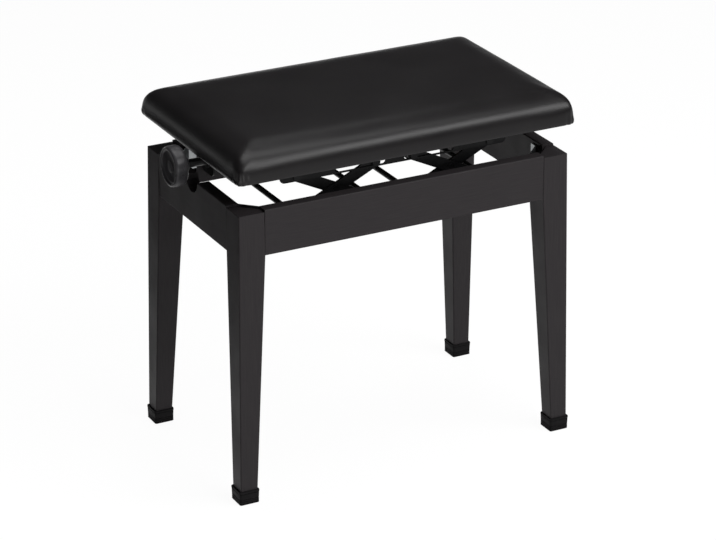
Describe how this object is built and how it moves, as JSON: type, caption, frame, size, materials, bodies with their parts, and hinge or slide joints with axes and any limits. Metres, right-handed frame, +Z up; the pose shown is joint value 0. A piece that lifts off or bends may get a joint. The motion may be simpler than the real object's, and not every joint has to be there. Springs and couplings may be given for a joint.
{
  "type": "height-adjustable keyboard bench",
  "caption": "Padded keyboard bench on tapered legs, whose seat rises and sinks level on a scissor lift as a knob turns its cross spindle.",
  "frame": {"origin": "on the floor, under the middle of the seat", "axes": "+X along the seat towards the sitter's right knob, +Y from the front apron to the rear one, +Z up"},
  "size_m": [0.568, 0.3168, 0.5104],
  "materials": {
    "lacquered_wood": "satin",
    "black_steel": "satin",
    "zinc_steel": "satin",
    "foot_rubber": "matte",
    "knob_plastic": "satin",
    "bush_nylon": "matte",
    "plywood": "matte",
    "seat_cover": "satin"
  },
  "bodies": {
    "stand": {"leg_front_left": "lacquered_wood", "leg_front_right": "lacquered_wood", "leg_rear_left": "lacquered_wood", "leg_rear_right": "lacquered_wood", "foot_cap_front_left": "foot_rubber", "foot_cap_front_right": "foot_rubber", "foot_cap_rear_left": "foot_rubber", "foot_cap_rear_right": "foot_rubber", "corner_brace_front_left": "zinc_steel", "corner_brace_front_right": "zinc_steel", "corner_brace_rear_left": "zinc_steel", "corner_brace_rear_right": "zinc_steel", "leg_bolt_front_left": "zinc_steel", "leg_bolt_front_right": "zinc_steel", "leg_bolt_rear_left": "zinc_steel", "leg_bolt_rear_right": "zinc_steel", "apron_front": "lacquered_wood", "apron_rear": "lacquered_wood", "apron_left": "lacquered_wood", "apron_right": "lacquered_wood", "lower_rail_front": "black_steel", "lower_rail_rear": "black_steel", "rail_screw_front_left": "zinc_steel", "rail_screw_front_right": "zinc_steel", "rail_screw_rear_left": "zinc_steel", "rail_screw_rear_right": "zinc_steel", "outer_rod_left": "black_steel", "outer_rod_right": "black_steel"},
    "left_lift_arms": {"lift_arm_left_front": "black_steel", "lift_arm_left_rear": "black_steel"},
    "left_cross_arms": {"cross_arm_left_front": "black_steel", "cross_arm_left_rear": "black_steel", "slide_rod_left": "black_steel", "centre_rivet_left_front": "black_steel", "centre_rivet_left_rear": "black_steel"},
    "right_lift_arms": {"lift_arm_right_front": "black_steel", "lift_arm_right_rear": "black_steel"},
    "right_cross_arms": {"cross_arm_right_front": "black_steel", "cross_arm_right_rear": "black_steel", "slide_rod_right": "black_steel", "centre_rivet_right_front": "black_steel", "centre_rivet_right_rear": "black_steel"},
    "left_nut": {"nut_bar_left": "black_steel"},
    "right_nut": {"nut_bar_right": "black_steel"},
    "seat": {"upper_frame": "black_steel", "upper_pin_front_left": "black_steel", "upper_pin_front_right": "black_steel", "upper_pin_rear_left": "black_steel", "upper_pin_rear_right": "black_steel", "bearing_bracket_left": "black_steel", "bearing_bracket_right": "black_steel", "bearing_bush_left": "bush_nylon", "bearing_bush_right": "bush_nylon", "seat_board": "plywood", "seat_cushion": "seat_cover"},
    "spindle_assembly": {"spindle": "black_steel", "knob_left": "knob_plastic", "knob_right": "knob_plastic", "spindle_collar_left": "black_steel", "spindle_collar_right": "black_steel"}
  },
  "joints": [
    {"name": "seat_lift", "type": "hinge", "parent": "stand", "child": "left_lift_arms", "pos_m": [-0.147, 0, 0.387], "axis": [0, -1, 0], "range_deg": [-13.9, 28.9]},
    {"name": "left_scissor_centre", "type": "hinge", "parent": "left_lift_arms", "child": "left_cross_arms", "pos_m": [-0.088, 0, 0.41525], "axis": [0, -1, 0], "range_deg": [-57.8, 27.8]},
    {"name": "seat_level", "type": "hinge", "parent": "left_cross_arms", "child": "seat", "pos_m": [-0.147, 0, 0.4435], "axis": [0, -1, 0], "range_deg": [-13.9, 28.9]},
    {"name": "left_nut_level", "type": "hinge", "parent": "left_lift_arms", "child": "left_nut", "pos_m": [-0.029, 0, 0.4435], "axis": [0, -1, 0], "range_deg": [-28.9, 13.9]},
    {"name": "right_lift_pivot", "type": "hinge", "parent": "stand", "child": "right_lift_arms", "pos_m": [0.147, 0, 0.387], "axis": [0, 1, 0], "range_deg": [-13.9, 28.9]},
    {"name": "right_scissor_centre", "type": "hinge", "parent": "right_lift_arms", "child": "right_cross_arms", "pos_m": [0.088, 0, 0.41525], "axis": [0, 1, 0], "range_deg": [-57.8, 27.8]},
    {"name": "right_nut_level", "type": "hinge", "parent": "right_lift_arms", "child": "right_nut", "pos_m": [0.029, 0, 0.4435], "axis": [0, 1, 0], "range_deg": [-28.9, 13.9]},
    {"name": "spindle_turn", "type": "hinge", "parent": "seat", "child": "spindle_assembly", "pos_m": [0, 0, 0.4435], "axis": [1, 0, 0], "range_deg": [-1015, 2110]}
  ],
  "couplings": [
    {"joint": "left_scissor_centre", "follows": "seat_lift", "ratio": -2},
    {"joint": "seat_level", "follows": "seat_lift", "ratio": 1},
    {"joint": "left_nut_level", "follows": "seat_lift", "ratio": -1},
    {"joint": "right_lift_pivot", "follows": "seat_lift", "ratio": 1},
    {"joint": "right_scissor_centre", "follows": "seat_lift", "ratio": -2},
    {"joint": "right_nut_level", "follows": "seat_lift", "ratio": -1},
    {"joint": "spindle_turn", "follows": "seat_lift", "ratio": 73}
  ]
}
